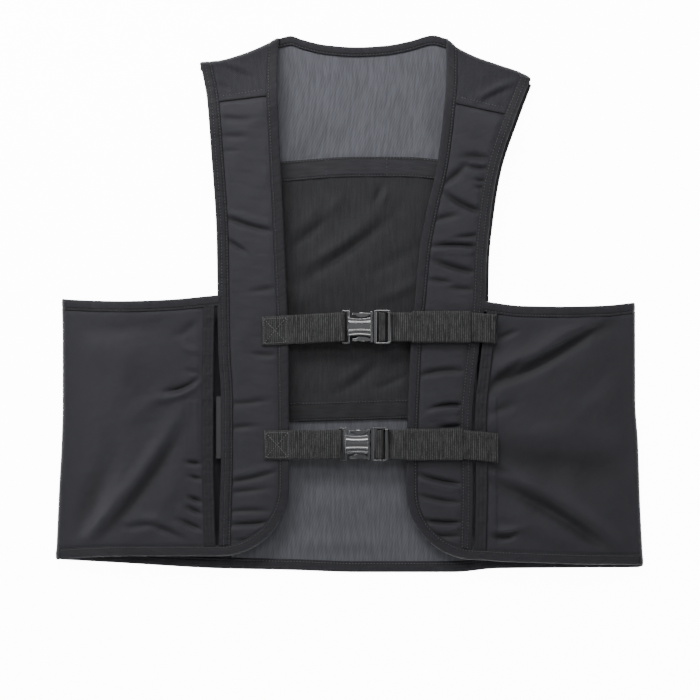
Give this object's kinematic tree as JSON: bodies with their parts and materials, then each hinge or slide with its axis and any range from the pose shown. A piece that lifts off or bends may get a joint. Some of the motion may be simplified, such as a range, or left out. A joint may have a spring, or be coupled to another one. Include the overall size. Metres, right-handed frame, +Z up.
{
  "type": "cooling vest",
  "caption": "Dark stretch cooling vest laid flat, with a mesh back, bound edges, side wings and webbing straps closed in front by side-release buckles.",
  "frame": {"origin": "the middle of the vest's outline on the surface that it lies on", "axes": "+Z up out of the surface, from the back of the vest to its front, +Y towards the shoulders, +X to the right as seen from above"},
  "size_m": [0.61, 0.5583, 0.024],
  "materials": {
    "stretch_cloth": "matt knitted stretch cloth",
    "back_mesh": "open knitted mesh",
    "pocket_mesh": "dark fine mesh",
    "binding": "folded stretch binding with stitch lines",
    "closing_tape": "brushed loop tape",
    "webbing": "ribbed woven webbing",
    "buckle_plastic": "glossy moulded plastic"
  },
  "bodies": {
    "root": {"back_panel": "back_mesh", "left_yoke": "back_mesh", "right_yoke": "back_mesh", "back_pocket": "pocket_mesh", "pocket_top_band": "pocket_mesh", "pocket_lower_band": "pocket_mesh", "neck_binding": "binding", "back_hem_binding": "binding", "left_hem_turn": "binding", "right_hem_turn": "binding", "slit_closing_tape": "closing_tape", "left_front_panel": "stretch_cloth", "left_wing": "stretch_cloth", "left_slit_band": "stretch_cloth", "left_front_binding": "binding", "left_side_binding": "binding", "left_back_arm_binding": "binding", "left_wing_binding": "binding", "right_front_panel": "stretch_cloth", "right_wing": "stretch_cloth", "right_slit_band": "stretch_cloth", "right_front_binding": "binding", "right_side_binding": "binding", "right_back_arm_binding": "binding", "right_wing_binding": "binding", "upper_buckle_housing": "buckle_plastic", "upper_buckle_plug": "buckle_plastic", "upper_left_webbing": "webbing", "upper_right_webbing": "webbing", "upper_strap_keeper": "webbing", "lower_buckle_housing": "buckle_plastic", "lower_buckle_plug": "buckle_plastic", "lower_left_webbing": "webbing", "lower_right_webbing": "webbing", "lower_strap_keeper": "webbing"}
  },
  "joints": []
}
